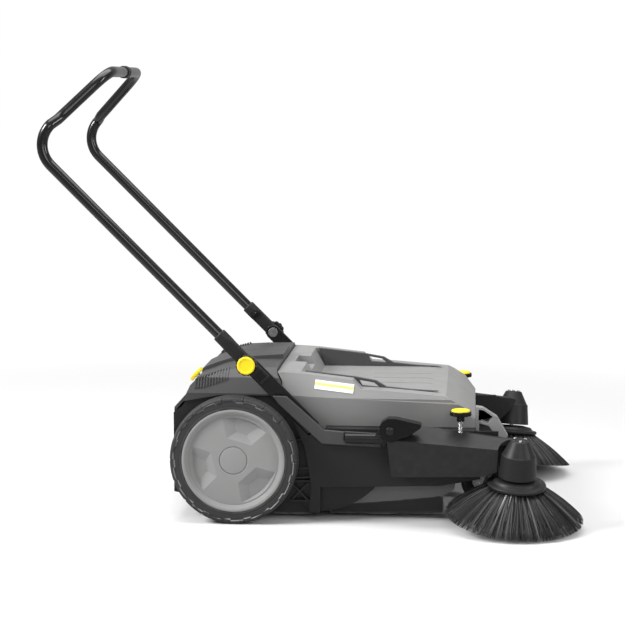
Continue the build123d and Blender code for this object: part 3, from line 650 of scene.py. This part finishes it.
def handle_sockets():
    """The flattened ends of the handle: a flat blade that swells into a collar round the tube."""
    stations = [-57.0, -56.6, -55.6, -54.0, -52.0]
    stations += [-51.0 + 1.25 * i for i in range(18)]
    stations += [-26.0, -10.0, 0.0, 20.0, 40.0, 48.0]
    stations += [52.0 + 3.0 * i for i in range(14)] + [92.6, 93.6, 94.0]
    around = 48

    def ring(along):
        swell = smooth_step((along - 50) / 26)
        half_width = 15.5 + 0.5 * swell
        half_depth = 7.85 + (13.6 - 7.85) * swell
        middle = 283.15 + (280.0 - 283.15) * swell
        square = 6.0 - 3.2 * swell
        edge = max(0.0, 1.0 - (along + 57.0) / 4.0) + max(0.0, (along - 90.0) / 4.0)
        inset = 2.2 * (1 - math.sqrt(max(0.0, 1 - edge ** 2)))
        notch = 1.1 if -51 < along < -29 and (along + 51) % 5.0 > 2.6 else 0.0
        for k in range(around):
            turn = 2 * math.pi * k / around
            c, s = math.cos(turn), math.sin(turn)
            across = (half_width - inset) * math.copysign(abs(c) ** (2 / square), c)
            depth = (half_depth - inset) * math.copysign(abs(s) ** (2 / square), s)
            yield handle_point(along, across, middle + depth - (notch if s > 0.5 else 0.0))

    rings = [list(ring(along)) for along in stations]
    verts, faces = grid(len(rings), around, lambda row, column: rings[row][column])
    capped(verts, faces, len(rings), around)
    piece = make("handle_feet", *joined((verts, faces), mirrored(verts, faces)), BLACK, 32)
    stand_for(piece, "handle", "handle_sockets")


def fluted(rows, flutes, depth, around):
    """A turned shape whose rim is pinched by finger flutes; each row is (radius, height, share of flute)."""
    def point(row, column):
        radius, height, share = rows[row]
        turn = 2 * math.pi * column / around
        radius -= depth * share * (0.5 + 0.5 * math.cos(turn * flutes)) ** 3
        return Vector((radius * math.cos(turn), radius * math.sin(turn), height)) * MM

    verts, faces = grid(len(rows), around, point)
    return capped(verts, faces, len(rows), around)


def clamp_knob(name, side):
    """The round screw-on knob on the handle pivot: black fluted rim and a yellow face."""
    place_in = axis_frame(PIVOT, (0, side, 0))
    rim = [(5.1, 292.0, 0), (13.4, 292.0, 0), (14.6, 293.0, 0), (15.4, 296.2, 0), (17.0, 297.6, 0),
           (21.8, 298.6, 0.3), (23.2, 299.4, 0.8), (24.0, 301.0, 1), (24.0, 306.0, 1), (24.0, 312.0, 1),
           (23.5, 314.4, 0.9), (22.4, 316.2, 0.5), (21.4, 316.9, 0.1), (20.7, 316.6, 0), (20.5, 315.4, 0),
           (19.0, 315.2, 0)]
    verts, faces = fluted(rim, 12, 1.9, 240)
    piece = make(f"clamp_knob_rim_{name}", place(verts, place_in), faces, GLOSS, 34)
    stand_for(piece, f"clamp_knob_{name}", f"clamp_knob_{name}")
    face = [(20.4, 314.8), (20.4, 318.8), (20.0, 320.2), (18.8, 321.2), (17.0, 321.6), (15.2, 321.1),
            (14.2, 320.3), (12.5, 320.0), (6.0, 320.0), (0.02, 320.1)]
    verts, faces = solid_of_turn(face, 96)
    piece = make(f"clamp_knob_face_{name}", place(verts, place_in), faces, YELLOW, 40)
    stand_for(piece, f"clamp_knob_{name}", f"clamp_knob_{name}")


# ---------------------------------------------------------------- arms and side brushes

def joint_frame(name):
    """A frame at a joint's anchor whose Z runs up along its axis."""
    joint = JOINTS[name]
    axis = Vector(joint["axis"])
    if axis.z < 0:
        axis = -axis
    return axis_frame(joint["pos_m"], axis)


def height_knob(name):
    """The fluted arm-height knob: black rim, yellow cap and a bright threaded rod."""
    body = f"height_knob_{name}"
    middle = middle_of(body)
    place_in = Matrix.Translation((middle.x, middle.y, 0))
    rim = [(7.6, 239.0, 0), (8.6, 239.3, 0), (9.0, 240.2, 0), (9.0, 248.0, 0), (9.6, 250.4, 0),
           (11.5, 251.6, 0), (22.0, 252.0, 0.2), (23.8, 252.5, 0.7), (24.9, 254.0, 1), (25.0, 257.0, 1),
           (24.8, 260.2, 1), (23.6, 261.7, 0.8), (22.0, 262.2, 0.2), (21.2, 262.0, 0), (20.8, 261.4, 0)]
    verts, faces = fluted(rim, 10, 2.4, 240)
    piece = make(f"height_knob_rim_{name}", place(verts, place_in), faces, GLOSS, 34)
    stand_for(piece, body, body)
    cap = [(21.0, 261.0), (21.0, 263.6), (20.4, 265.0), (19.0, 265.9), (16.5, 266.2), (8.0, 266.4),
           (0.02, 266.4)]
    verts, faces = solid_of_turn(cap, 96)
    piece = make(f"height_knob_cap_{name}", place(verts, place_in), faces, YELLOW, 40)
    stand_for(piece, body, body)
    pitch, rows, around = 1.6, 190, 40

    def point(row, column):
        height = 208.0 + 31.5 * row / (rows - 1)
        turn = 2 * math.pi * column / around
        beat = (height / pitch + column / around) % 1.0
        thread = abs(beat - 0.5) * 2
        radius = 4.3 + 0.7 * thread
        if row in (0, rows - 1):
            radius = 3.6
        return Vector((radius * math.cos(turn), radius * math.sin(turn), height)) * MM

    verts, faces = grid(rows, around, point)
    capped(verts, faces, rows, around)
    piece = make(f"height_screw_{name}", place(verts, place_in), faces, STEEL, 60)
    stand_for(piece, body, body)


def brush_head(name):
    """The conical head over a side brush, with a soft shoulder and a drip edge."""
    place_in = joint_frame(f"brush_{name}_spin")
    rows = rounded_profile([(0.02, 101.4), (14.5, 101.4), (16.5, 102.2), (20.4, 101.0), (36.2, 69.6),
                            (36.9, 68.9), (37.8, 68.4), (38.5, 66.6), (43.2, 19.0), (43.4, 17.0),
                            (41.0, 17.0), (36.4, 62.0), (16.0, 92.0), (0.02, 92.0)], 1.3, 4)
    verts, faces = solid_of_turn(rows, 128)
    piece = make(f"brush_cone_{name}", place(verts, place_in), faces, BLACK, 30)
    stand_for(piece, f"arm_{name}", f"brush_head_{name}")


def brush_disc(name):
    """The stepped plastic disc of a side brush."""
    place_in = joint_frame(f"brush_{name}_spin")
    rows = rounded_profile([(5.1, -9.6), (59.0, -9.6), (66.0, -5.4), (66.4, -0.6), (65.2, 1.2), (62.8, 1.6),
                            (55.4, 3.6), (53.6, 5.2), (50.6, 9.4), (47.0, 10.6), (30.0, 13.8),
                            (5.1, 13.8)], 1.0, 3)
    bore = [rows[-1], rows[0]]
    verts, faces = joined(turned(rows, 144), turned(bore, 144))
    piece = make(f"brush_plate_{name}", place(verts, place_in), faces, BLACK, 30)
    stand_for(piece, f"brush_{name}", f"brush_disc_{name}")


class Strands:
    """Many thin tapered strands in one mesh, each with its own value for the painted sheen."""

    def __init__(self, sides=3):
        self.sides = sides
        self.verts, self.faces, self.shades = [], [], []

    def add(self, path, thickness, shade):
        """One strand along a list of points, thinning to a blunt tip."""
        start = len(self.verts)
        along = (path[-1] - path[0]).normalized()
        normal = along.orthogonal().normalized()
        across = along.cross(normal)
        last = len(path) - 1
        for i, point in enumerate(path):
            radius = thickness * (1 - 0.45 * i / last)
            for k in range(self.sides):
                turn = 2 * math.pi * k / self.sides
                self.verts.append(point + (normal * math.cos(turn) + across * math.sin(turn)) * radius)
                self.shades.append(shade)
        for i in range(last):
            a, b = start + i * self.sides, start + (i + 1) * self.sides
            for k in range(self.sides):
                j = (k + 1) % self.sides
                self.faces.append((a + k, a + j, b + j, b + k))
        self.faces.append(tuple(range(start + self.sides - 1, start - 1, -1)))
        tip = start + last * self.sides
        self.faces.append(tuple(range(tip, tip + self.sides)))

    def finish(self, name, material):
        mesh = bpy.data.meshes.new(name)
        mesh.from_pydata([tuple(v) for v in self.verts], [], self.faces)
        mesh.materials.append(material)
        strand = mesh.attributes.new("strand", "FLOAT", "POINT")
        strand.data.foreach_set("value", self.shades)
        mesh.shade_smooth()
        piece = bpy.data.objects.new(name, mesh)
        bpy.context.scene.collection.objects.link(piece)
        return piece


def side_bristles(name, side):
    """Three rings of tufts that fan out and down from the disc to one clean-cut edge."""
    place_in = joint_frame(f"brush_{name}_spin")
    dice = random.Random(17 + side)
    strands = Strands(4)
    rings = ((41.0, 118.0, 26), (50.0, 140.0, 32), (58.5, 156.5, 38))
    for ring_index, (root, reach, tufts) in enumerate(rings):
        for t in range(tufts):
            turn = 2 * math.pi * (t + 0.31 * ring_index) / tufts + dice.uniform(-0.015, 0.015)
            fan = 1.25 * math.pi / tufts
            # painted sheen: bundles of strands get light or dark values, drawn as bright streaks from root to tip
            bundles = [dice.choice((0.02, 0.05, 0.10, 0.16, 0.30, 0.62)) for _ in range(5)]
            for _ in range(30):
                off_x, off_y = dice.uniform(-1, 1), dice.uniform(-1, 1)
                root_turn = turn + off_x * 2.9 / root
                root_radius = root + off_y * 2.9
                tip_radius = reach + off_y * 3.0 - abs(dice.gauss(0, 0.9)) - (3.0 if ring_index == 2 else 0.0)
                tip_turn = turn + off_x * fan + dice.gauss(0, 0.008)
                tip_drop = -77.6 + off_y * 0.9 + dice.uniform(-0.8, 0.8)
                shade = max(0.0, bundles[min(4, int((off_x + 1) * 2.5))] + dice.gauss(0, 0.05))
                path = []
                for i in range(6):
                    share = i / 5
                    bow = math.sin(share * math.pi)
                    radius = root_radius + (tip_radius - root_radius) * share + 3.2 * bow
                    angle = root_turn + (tip_turn - root_turn) * share
                    height = -8.0 + (tip_drop + 8.0) * share + 2.0 * bow
                    local = Vector((radius * math.cos(angle), radius * math.sin(angle), height)) * MM
                    point = place_in @ local
                    path.append(Vector((point.x, point.y, max(point.z, 0.8 * MM))))
                strands.add(path, 0.72 * MM, min(1.0, shade))
    piece = strands.finish(f"side_brush_strands_{name}", BRISTLE)
    stand_for(piece, f"brush_{name}", f"side_bristles_{name}")


# ---------------------------------------------------------------- roller, belts, seals, caster, adjuster

def roller_bristles():
    """Spiral rows of tufts round the main roller."""
    axis = middle_of("roller_core")
    dice = random.Random(5)
    strands = Strands()
    rows, pitch, half = 9, 9.5, 226.0
    for row in range(rows):
        for t in range(int(2 * half / pitch) + 1):
            y = -half + pitch * t
            turn = 2 * math.pi * row / rows + math.radians(70) * (abs(y) / half)
            # painted sheen: each tuft gets its own brightness
            shade = dice.uniform(0.1, 0.7)
            for _ in range(13):
                root_turn = turn + dice.uniform(-0.09, 0.09)
                tip_turn = turn + dice.gauss(0, 0.055)
                root_y = y + dice.uniform(-2.4, 2.4)
                tip_y = max(-231.0, min(231.0, root_y + dice.gauss(0, 3.4)))
                tip = 103.4 - abs(dice.gauss(0, 1.1))
                path = []
                for i in range(4):
                    share = i / 3
                    radius = 29.0 + (tip - 29.0) * share
                    angle = root_turn + (tip_turn - root_turn) * share
                    path.append(Vector((axis.x + radius * math.cos(angle) * MM,
                                        (root_y + (tip_y - root_y) * share) * MM,
                                        axis.z + radius * math.sin(angle) * MM)))
                strands.add(path, 0.6 * MM, min(1.0, max(0.0, shade + dice.gauss(0, 0.2))))
    piece = strands.finish("roller_strands", ROLLER_BRISTLE)
    stand_for(piece, "roller", "roller_bristles")


BELT_Y = 272.8 * MM
GUIDE_X = 450.0 * MM


def drive_belts():
    """The two round elastic belts, each one closed loop that turns a quarter between its pulleys."""
    frame_up = joint_frame("brush_left_spin")
    up = frame_up.to_3x3() @ Vector((0, 0, 1))
    pulley = frame_up @ (Vector((0, 0, 45)) * MM)
    roller = middle_of("roller_core")
    rear = Vector((roller.x, BELT_Y, roller.z))
    upper, lower = Vector((GUIDE_X, BELT_Y, 146 * MM)), Vector((GUIDE_X, BELT_Y, 124 * MM))
    ahead = Vector((pulley.x - upper.x, pulley.y - upper.y, 0)).normalized()
    ahead = (ahead - up * ahead.dot(up)).normalized()
    across = up.cross(ahead)
    reach = 10.5 * MM
    slope = math.atan2((upper.z + lower.z) / 2 - rear.z, upper.x - rear.x)
    back = Vector((-math.cos(slope), 0, -math.sin(slope)))
    above = Vector((-math.sin(slope), 0, math.cos(slope)))
    path = []
    for i in range(13):
        turn = math.pi * i / 12
        path.append(rear - above * reach * math.cos(turn) + back * reach * math.sin(turn))
    path += [path[-1] + (upper - path[-1]) * (i / 8) for i in range(1, 9)]
    first = pulley + across * reach
    path += [upper + (first - upper) * (i / 6) for i in range(1, 6)]
    for i in range(13):
        turn = math.pi * i / 12
        path.append(pulley + across * reach * math.cos(turn) + ahead * reach * math.sin(turn))
    path += [path[-1] + (lower - path[-1]) * (i / 6) for i in range(1, 7)]
    start = path[0]
    path += [lower + (start - lower) * (i / 8) for i in range(1, 8)]
    verts, faces = tube(path, 2.0 * MM, 14, closed=True)
    piece = make("round_belts", *joined((verts, faces), mirrored(verts, faces)), SEAL, 60)
    stand_for(piece, "chassis", "drive_belts")


def along_line(points, share):
    """A point at a share of the way along evenly weighted stations of a line."""
    place_on = share * (len(points) - 1)
    index = min(int(place_on), len(points) - 2)
    return points[index].lerp(points[index + 1], place_on - index)


def rubber_sheet(top, low, thick, waves):
    """A thin hanging rubber sheet between two lines: slightly wavy, with a thicker lower lip."""
    columns, rows = 64, 12
    top, low = [Vector(p) * MM for p in top], [Vector(p) * MM for p in low]
    out = (top[-1] - top[0]).cross(low[0] - top[0]).normalized()
    front, back = [], []
    for row in range(rows + 1):
        down = row / rows
        for column in range(columns + 1):
            share = column / columns
            wave = waves * MM * down ** 2 * (math.sin(share * 31) + 0.6 * math.sin(share * 57 + 1.3)) / 1.6
            centre = along_line(top, share).lerp(along_line(low, share), down) + out * wave
            half = thick * MM * (0.5 if down < 0.85 else 0.5 + 0.35 * smooth_step((down - 0.85) / 0.08))
            front.append(centre + out * half)
            back.append(centre - out * half)
    width = columns + 1
    verts, faces = front + back, []
    shift = len(front)
    for row in range(rows):
        for column in range(columns):
            a = row * width + column
            quad = (a, a + 1, a + 1 + width, a + width)
            faces.append(quad)
            faces.append(tuple(i + shift for i in reversed(quad)))
    edge = list(range(width))
    edge += [row * width + columns for row in range(1, rows + 1)]
    edge += [rows * width + column for column in range(columns - 1, -1, -1)]
    edge += [row * width for row in range(rows - 1, 0, -1)]
    for a, b in zip(edge, edge[1:] + edge[:1]):
        faces.append((b, a, a + shift, b + shift))
    return verts, faces


def sealing_strips():
    """Rubber strips beside the roller chamber, across the back and under the container's edges."""
    side = rubber_sheet([(-50, 246.8, 78), (188, 246.8, 78)], [(-50, 246.8, 9), (188, 246.8, 9)], 3.0, 0.5)
    rear = rubber_sheet([(-58, -236, 70), (-58, 236, 70)], [(-58, -236, 6), (-58, 236, 6)], 3.0, 0.5)
    piece = make("rubber_strips", *joined(side, mirrored(*side), rear), SEAL, 50)
    stand_for(piece, "chassis", "sealing_strips")
    top = [(214, 232, 29), (288, 232, 35), (361, 232, 41), (418, 232, 48), (476, 232, 55)]
    low = [(214, 232, 9.5), (288, 232, 9.6), (361, 232, 10), (418, 232, 11), (476, 232, 12.5)]
    lip = rubber_sheet(top, low, 3.0, 0.4)
    piece = make("container_lips", *joined(lip, mirrored(*lip)), SEAL, 50)
    stand_for(piece, "container", "container_seals")


def caster_wheel():
    """The small solid front wheel: rounded tread and a stepped hub."""
    middle = middle_of("caster_wheel")
    place_in = axis_frame((middle.x, 0, middle.z), (0, 1, 0))
    rows = rounded_profile([(5.1, -15.0), (12.0, -15.0), (14.0, -11.0), (27.5, -10.6), (29.5, -12.6),
                            (34.0, -12.2), (37.4, -7.0), (37.5, 0.0), (37.4, 7.0), (34.0, 12.2), (29.5, 12.6),
                            (27.5, 10.6), (14.0, 11.0), (12.0, 15.0), (5.1, 15.0)], 2.0, 4)
    verts, faces = turned(rows + rows[:1], 96)
    piece = make("caster_roller", place(verts, place_in), faces, TYRE, 32)
    stand_for(piece, "caster_wheel", "caster_wheel")


def adjuster_knob():
    """The yellow roller-height knob: fluted rim, sunk face and a raised grip bar."""
    joint = JOINTS["roller_adjuster_turn"]
    axis = Vector(joint["axis"])
    axis = -axis if axis.x > 0 else axis
    place_in = axis_frame(joint["pos_m"], axis, (0, 1, 0))
    centre = (place_in.inverted() @ middle_of("adjuster_knob")).z / MM
    rim = [(6.2, -5.0, 0), (18.0, -5.0, 0.2), (19.6, -4.2, 0.8), (20.0, -2.6, 1), (20.0, 2.2, 1),
           (19.5, 3.6, 0.8), (18.0, 4.2, 0.1), (16.6, 4.0, 0), (15.8, 3.2, 0), (15.6, 1.8, 0), (14.8, 1.4, 0),
           (3.0, 1.4, 0)]
    knob = fluted([(r, h + centre - 0.4, s) for r, h, s in rim], 16, 1.3, 256)
    steps = [(-15.0, 2.2), (-13.6, 3.0), (-7.0, 3.3), (0.0, 3.4), (7.0, 3.3), (13.6, 3.0), (15.0, 2.2)]
    sides = [(-1, 0.6, 0.5), (-1, 0.0, 4.4), (-1, -1.0, 5.2), (1, -1.0, 5.2), (1, 0.0, 4.4), (1, 0.6, 0.5)]

    def bar_point(row, column):
        x, half = steps[row]
        hand, spread, height = sides[column]
        return Vector((x, hand * (half + spread), height + centre - 0.4)) * MM

    bar_verts, bar_faces = grid(len(steps), len(sides), bar_point)
    capped(bar_verts, bar_faces, len(steps), len(sides))
    verts, faces = joined(knob, (bar_verts, bar_faces))
    piece = make("adjuster_dial", place(verts, place_in), faces, YELLOW, 32)
    stand_for(piece, "roller_adjuster", "adjuster_knob")


# ---------------------------------------------------------------- build

# Edge rounding in mm of the CAD nodes that keep their shape.
ROUNDED = {
    "chassis": 1.2, "rear_cover": 1.4, "side_rails": 3.4, "handle_brackets": 0.9, "pivot_bolts": 0.6,
    "axle_stubs": 0.6, "axle_clips": 0.3, "roller_bearings": 0.5, "belt_guides": 0.8, "arm_mounts": 1.2,
    "arm_hinge_bolts": 0.5, "caster_retainer": 0.5, "adjuster_spindle": 0.5, "container_hood": 2.4,
    "container_tub": 1.4, "container_front_grip": 2.0, "container_grips": 1.4, "label_plates": 0.3,
    "caster_fork": 0.8, "caster_axle": 0.5, "arm_hinge_lever": 2.2, "side_arm": 2.0, "head_screws": 0.3,
    "brush_spindle": 0.4, "belt_pulleys": 0.4, "roller_shaft": 0.5, "roller_core": 0.6,
}

for node in sorted(frame["nodes"]):
    if base_name(node) in ROUNDED:
        rounded_copy(node, ROUNDED[base_name(node)] * MM)

handle_tube()
handle_sockets()
roller_bristles()
drive_belts()
sealing_strips()
caster_wheel()
adjuster_knob()
for name, side in SIDES:
    tyre(name, side)
    wheel_hub(name, side)
    clamp_knob(name, side)
    height_knob(name)
    brush_head(name)
    brush_disc(name)
    side_bristles(name, side)

# Gears and the other nodes that stay as the CAD has them get their finish here.
for node, carried in frame["nodes"].items():
    carried.data.materials.clear()
    carried.data.materials.append(finish_of(node))


# ---------------------------------------------------------------- stage

WHITE = (1.0, 1.0, 1.0, 1.0)
BLACKOUT = (0.0, 0.0, 0.0, 1.0)
SWEEP_HALF_WIDTH = 9.0
SWEEP_BACK = 5.0
SWEEP_BEND = 2.0


def paper_material():
    """Pale paper near the machine that turns into plain white further out."""
    n = Nodes("studio_floor")
    paper = n.mix(n.noise(0.8, 1.0), (0.60, 0.60, 0.60, 1), (0.62, 0.62, 0.62, 1))
    away = n.add("ShaderNodeVectorMath", Vector=n.place)
    away.operation = "LENGTH"
    far = n.ramp(away.outputs["Value"], 0.9, 2.4)
    direct = n.add("ShaderNodeLightPath").outputs["Is Camera Ray"]
    bounced = n.mix(far, (0.42, 0.42, 0.42, 1), BLACKOUT)
    paper = n.mix(direct, bounced, n.mix(far, paper, BLACKOUT))
    n.put(n.surface, "Emission Color", WHITE)
    n.put(n.surface, "Emission Strength", n.math("MULTIPLY", far, n.ramp(direct, 0.0, 1.0, 0.45, 1.0)))
    return n.finish(paper, 0.8, n.bump(n.noise(40.0), 0.01, 0.0005), Specular_IOR_Level=0.1)


def studio_floor():
    """A pale floor that curves up behind the machine."""
    start = SWEEP_BACK - SWEEP_BEND
    turns = [i * math.pi / 24 for i in range(1, 13)]
    profile = [(-SWEEP_HALF_WIDTH, 0.0), (start, 0.0)]
    profile += [(start + SWEEP_BEND * math.sin(t), SWEEP_BEND * (1 - math.cos(t))) for t in turns]
    profile += [(SWEEP_BACK, SWEEP_HALF_WIDTH)]
    verts, faces = [], []
    for y, z in profile:
        verts += [Vector((-SWEEP_HALF_WIDTH, y, z)), Vector((SWEEP_HALF_WIDTH, y, z))]
    for i in range(len(profile) - 1):
        faces.append((2 * i, 2 * i + 1, 2 * i + 3, 2 * i + 2))
    make("studio_floor", verts, faces, paper_material(), 60)


def panel(name, location, aim, width, height, power):
    """A soft box that faces a point."""
    light = bpy.data.lights.new(name, "AREA")
    light.shape = "RECTANGLE"
    light.size, light.size_y, light.energy = width, height, power
    lamp = bpy.data.objects.new(name, light)
    lamp.location = location
    lamp.rotation_mode = "QUATERNION"
    lamp.rotation_quaternion = (Vector(aim) - Vector(location)).to_track_quat("-Z", "Y")
    bpy.context.scene.collection.objects.link(lamp)


def room_light():
    """Soft light from all round, stronger from above; the camera itself sees plain white."""
    world = bpy.data.worlds.new("studio")
    world.use_nodes = True
    tree = world.node_tree
    room = tree.nodes["Background"]
    backdrop = tree.nodes.new("ShaderNodeBackground")
    looked_at = tree.nodes.new("ShaderNodeLightPath")
    choice = tree.nodes.new("ShaderNodeMixShader")
    direction = tree.nodes.new("ShaderNodeTexCoord")
    split = tree.nodes.new("ShaderNodeSeparateXYZ")
    height = tree.nodes.new("ShaderNodeMapRange")
    for key, value in (("From Min", -0.1), ("From Max", 0.9), ("To Min", 0.18), ("To Max", 0.50)):
        height.inputs[key].default_value = value
    backdrop.inputs["Color"].default_value = WHITE
    room.inputs["Color"].default_value = WHITE
    tree.links.new(direction.outputs["Generated"], split.inputs[0])
    tree.links.new(split.outputs["Z"], height.inputs["Value"])
    tree.links.new(height.outputs["Result"], room.inputs["Strength"])
    tree.links.new(looked_at.outputs["Is Camera Ray"], choice.inputs[0])
    tree.links.new(room.outputs[0], choice.inputs[1])
    tree.links.new(backdrop.outputs[0], choice.inputs[2])
    tree.links.new(choice.outputs[0], tree.nodes["World Output"].inputs["Surface"])
    bpy.context.scene.world = world


def working_camera():
    """A long lens from the right side, a little forward of square and a little above."""
    azimuth, elevation = math.radians(4.829), math.radians(6.861)
    level = math.cos(elevation)
    towards = Vector((math.sin(azimuth) * level, -math.cos(azimuth) * level, math.sin(elevation)))
    camera = bpy.data.cameras.new("working_view")
    camera.lens, camera.sensor_width = 109.04, 36.0
    eye = bpy.data.objects.new("working_view", camera)
    eye.location = (0.5356, -4.5256, 0.9951)
    eye.rotation_mode = "QUATERNION"
    eye.rotation_quaternion = (-towards).to_track_quat("-Z", "Y")
    bpy.context.scene.collection.objects.link(eye)
    bpy.context.scene.camera = eye


studio_floor()
panel("overhead", (0.2, 0.1, 3.0), (0.2, 0, 0.3), 3.0, 2.2, 92)
panel("key", (-2.5, -1.3, 2.3), (0.1, -0.2, 0.2), 1.2, 1.2, 175)
panel("fill", (1.2, -3.4, 1.5), (0.2, 0, 0.3), 2.0, 1.6, 34)
panel("front", (3.2, -1.2, 1.5), (0.7, 0, 0.2), 0.5, 1.6, 34)
room_light()
working_camera()
bpy.context.scene.view_settings.view_transform = "Standard"
bpy.context.scene.view_settings.look = "None"
